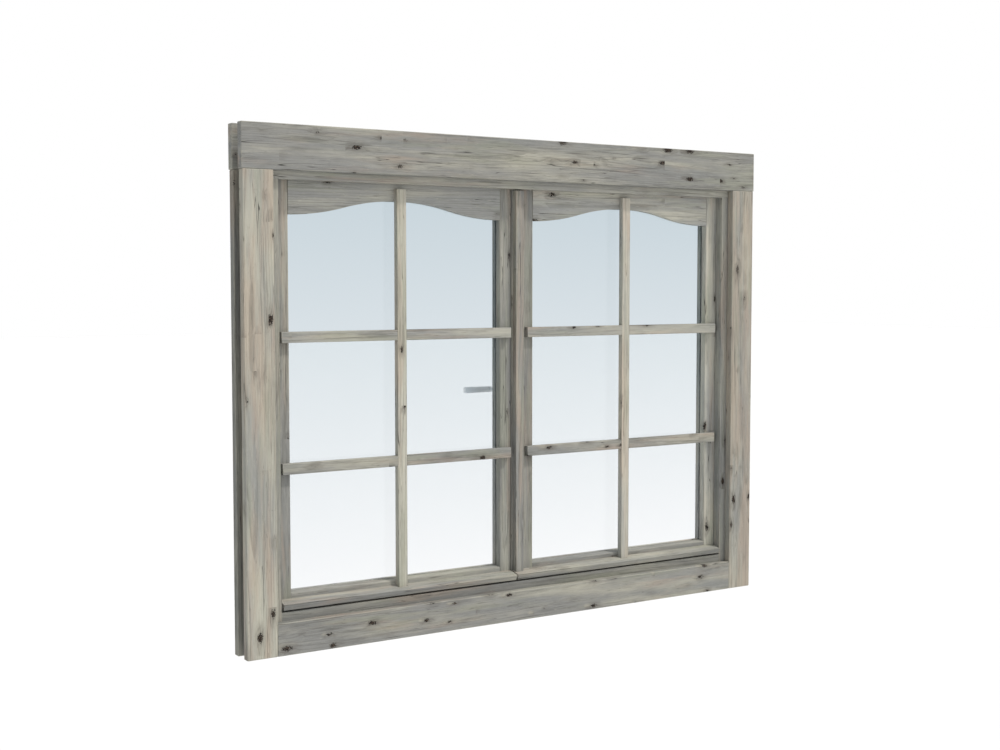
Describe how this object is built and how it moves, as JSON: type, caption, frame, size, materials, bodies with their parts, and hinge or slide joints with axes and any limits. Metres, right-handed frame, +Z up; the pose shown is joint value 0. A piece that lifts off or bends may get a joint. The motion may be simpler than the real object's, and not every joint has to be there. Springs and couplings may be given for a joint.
{
  "type": "casement window",
  "caption": "Two-leaf inward-opening timber casement window with glazing bars, arched top rails, drip bars, an edge-bolt lock and trim boards that grip a thin log wall.",
  "frame": {"origin": "middle of the sill's underside, halfway through the wall", "axes": "+X to the right seen from outside, +Y from outside into the room, +Z up"},
  "size_m": [1.321, 0.11, 1.05],
  "materials": {
    "frame_wood": "weathered grey softwood, sawn and brushed",
    "board_wood": "weathered grey softwood with knots",
    "leaf_wood": "weathered grey softwood with knots",
    "bar_wood": "weathered grey softwood",
    "window_glass": "clear float glass",
    "glazing_tape": "grey closed-cell foam tape",
    "seal_rubber": "matt black sealing strip",
    "zinc_screws": "zinc-plated steel",
    "hinge_steel": "zinc-plated steel",
    "fitting_steel": "zinc-plated steel",
    "lock_steel": "zinc-plated steel",
    "handle_aluminium": "satin anodised"
  },
  "bodies": {
    "frame": {"bolt_keeps": "fitting_steel", "frame_corner_screws": "zinc_screws", "frame_hardware_screws": "zinc_screws", "frame_head": "frame_wood", "frame_jamb_left": "frame_wood", "frame_jamb_right": "frame_wood", "frame_sill": "frame_wood", "hinge_frame_plates": "hinge_steel", "hinge_pins": "hinge_steel", "inner_board_bottom": "board_wood", "inner_board_left": "board_wood", "inner_board_right": "board_wood", "inner_board_screws": "zinc_screws", "inner_board_top": "board_wood", "outer_board_bottom": "board_wood", "outer_board_left": "board_wood", "outer_board_right": "board_wood", "outer_board_screws": "zinc_screws", "outer_board_top": "board_wood", "rod_strikes": "fitting_steel", "weather_seal": "seal_rubber"},
    "left_leaf": {"left_bar_lower": "bar_wood", "left_bar_upper": "bar_wood", "left_bar_vertical": "bar_wood", "left_bottom_rail": "leaf_wood", "left_drip_bar": "leaf_wood", "left_glazing_beads": "leaf_wood", "left_glazing_tape": "glazing_tape", "left_hinge_plates": "hinge_steel", "left_hinge_stile": "leaf_wood", "left_leaf_screws": "zinc_screws", "left_meeting_stile": "leaf_wood", "left_pane": "window_glass", "left_top_rail": "leaf_wood", "espagnolette_case": "lock_steel", "espagnolette_faceplate": "lock_steel", "handle_rosette": "handle_aluminium"},
    "right_leaf": {"right_bar_lower": "bar_wood", "right_bar_upper": "bar_wood", "right_bar_vertical": "bar_wood", "right_bottom_rail": "leaf_wood", "right_drip_bar": "leaf_wood", "right_glazing_beads": "leaf_wood", "right_glazing_tape": "glazing_tape", "right_hinge_plates": "hinge_steel", "right_hinge_stile": "leaf_wood", "right_leaf_screws": "zinc_screws", "right_meeting_stile": "leaf_wood", "right_pane": "window_glass", "right_top_rail": "leaf_wood", "astragal": "bar_wood", "bolt_guides": "fitting_steel"},
    "handle": {"handle_lever": "handle_aluminium", "handle_spindle": "lock_steel", "espagnolette_pinion": "lock_steel"},
    "rod_upper": {"rod_upper": "lock_steel"},
    "rod_lower": {"rod_lower": "lock_steel"},
    "bolt_top": {"bolt_top": "fitting_steel"},
    "bolt_bottom": {"bolt_bottom": "fitting_steel"}
  },
  "joints": [
    {"name": "left_leaf_hinge", "type": "hinge", "parent": "frame", "child": "left_leaf", "pos_m": [-0.59075, 0.041, 0.474], "axis": [0, 0, 1], "range_deg": [0, 110]},
    {"name": "right_leaf_hinge", "type": "hinge", "parent": "frame", "child": "right_leaf", "pos_m": [0.59075, 0.041, 0.474], "axis": [0, 0, -1], "range_deg": [0, 110]},
    {"name": "handle_turn", "type": "hinge", "parent": "left_leaf", "child": "handle", "pos_m": [-0.0265, 0.073, 0.464], "axis": [0, -1, 0], "range_deg": [0, 90]},
    {"name": "rod_upper_slide", "type": "slide", "parent": "left_leaf", "child": "rod_upper", "axis": [0, 0, 1], "range_m": [0, 0.0085]},
    {"name": "rod_lower_slide", "type": "slide", "parent": "left_leaf", "child": "rod_lower", "axis": [0, 0, -1], "range_m": [0, 0.0085]},
    {"name": "bolt_top_slide", "type": "slide", "parent": "right_leaf", "child": "bolt_top", "axis": [0, 0, 1], "range_m": [0, 0.016]},
    {"name": "bolt_bottom_slide", "type": "slide", "parent": "right_leaf", "child": "bolt_bottom", "axis": [0, 0, -1], "range_m": [0, 0.016]}
  ],
  "couplings": [
    {"joint": "rod_upper_slide", "follows": "handle_turn", "m_per_rad": 0.0054},
    {"joint": "rod_lower_slide", "follows": "handle_turn", "m_per_rad": 0.0054}
  ]
}
